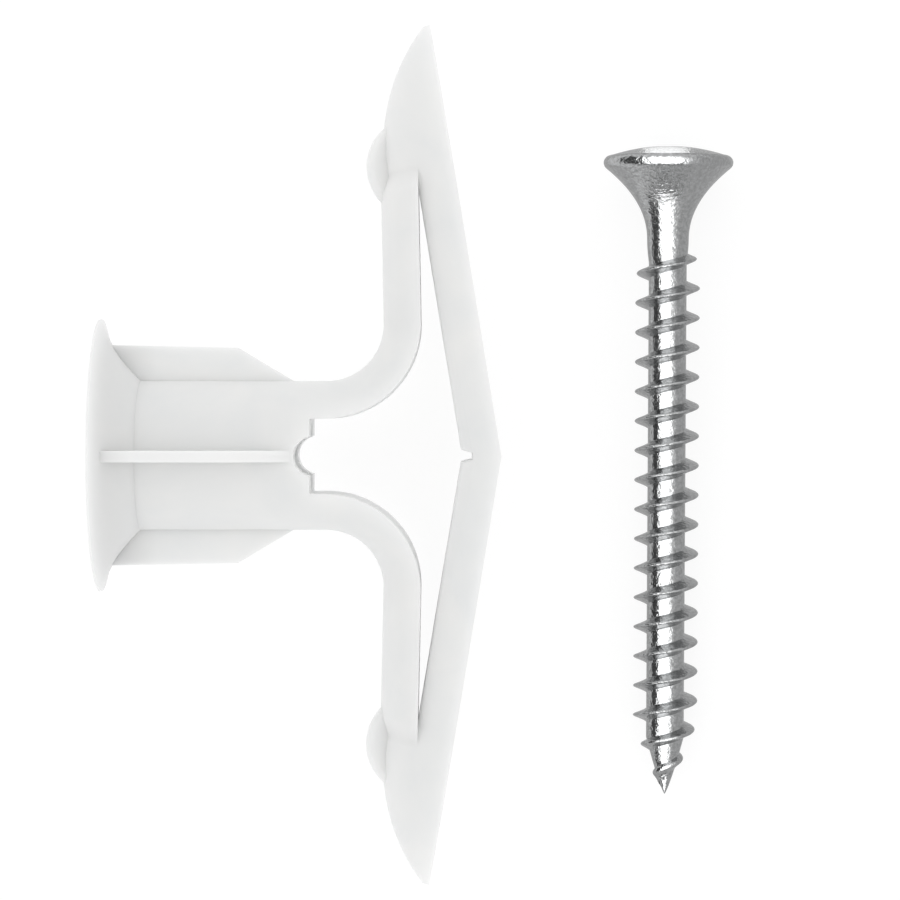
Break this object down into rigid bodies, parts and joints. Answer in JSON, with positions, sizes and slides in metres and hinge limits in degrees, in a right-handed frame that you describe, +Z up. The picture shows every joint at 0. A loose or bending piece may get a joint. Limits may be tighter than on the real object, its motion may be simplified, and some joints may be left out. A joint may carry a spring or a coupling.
{
  "type": "toggle anchor",
  "caption": "Plastic folding toggle anchor for hollow walls: thin collar, finned sleeve and wings that spring open, with its raised countersunk screw lying beside it.",
  "frame": {"origin": "on the table, under the middle of the box round the anchor and its screw", "axes": "+Z up from the table; +Y along the open wings and the screw, towards the screw's head; +X from the anchor's collar to its hinge and on to the screw"},
  "size_m": [0.0354, 0.0468, 0.0146],
  "materials": {
    "anchor_plastic": "injection-moulded polypropylene, milky and slightly translucent, with a soft semi-matt skin",
    "screw_steel": "case-hardened steel wire, cold-headed and thread-rolled, bright zinc plate"
  },
  "bodies": {
    "root": {"toggle_body": "anchor_plastic", "screw": "screw_steel"}
  },
  "joints": []
}
